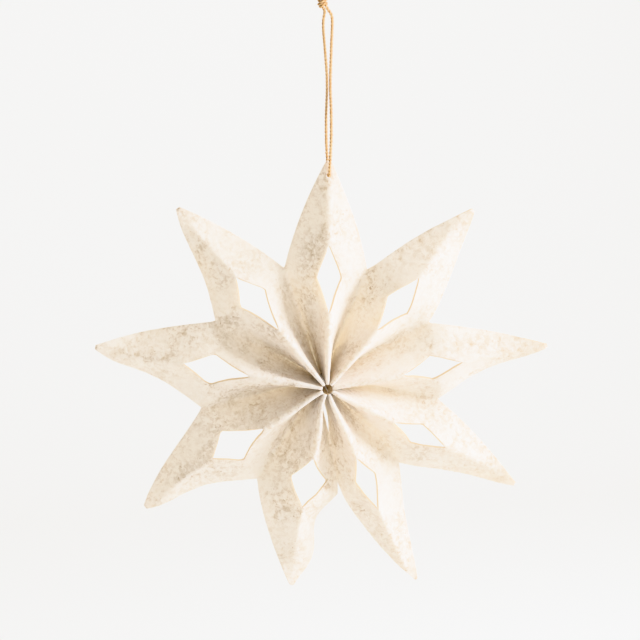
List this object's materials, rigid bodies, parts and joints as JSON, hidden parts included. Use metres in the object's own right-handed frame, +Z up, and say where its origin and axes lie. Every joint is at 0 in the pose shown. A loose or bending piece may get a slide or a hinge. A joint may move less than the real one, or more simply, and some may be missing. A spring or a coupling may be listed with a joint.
{
  "type": "paper star ornament",
  "caption": "Hanging star ornament of one pleated strip of felted paper with lozenge cut-outs along its folds, gathered at a hub and hung from a knotted loop of twine.",
  "frame": {"origin": "inside the top of the twine loop, where a hook or twig holds it", "axes": "+Z up along the hanging twine, +X to the right as the star is seen from the front, +Y from its front to its back"},
  "size_m": [0.1836, 0.0179, 0.2492],
  "materials": {
    "felted_paper": "matt felted fibre, off-white with beige flecks",
    "thread": "matt cotton thread",
    "twine": "golden two-ply twine"
  },
  "bodies": {
    "root": {"star_sheet": "felted_paper", "gathering_thread": "thread", "hanging_cord": "twine", "cord_knot": "twine"}
  },
  "joints": []
}
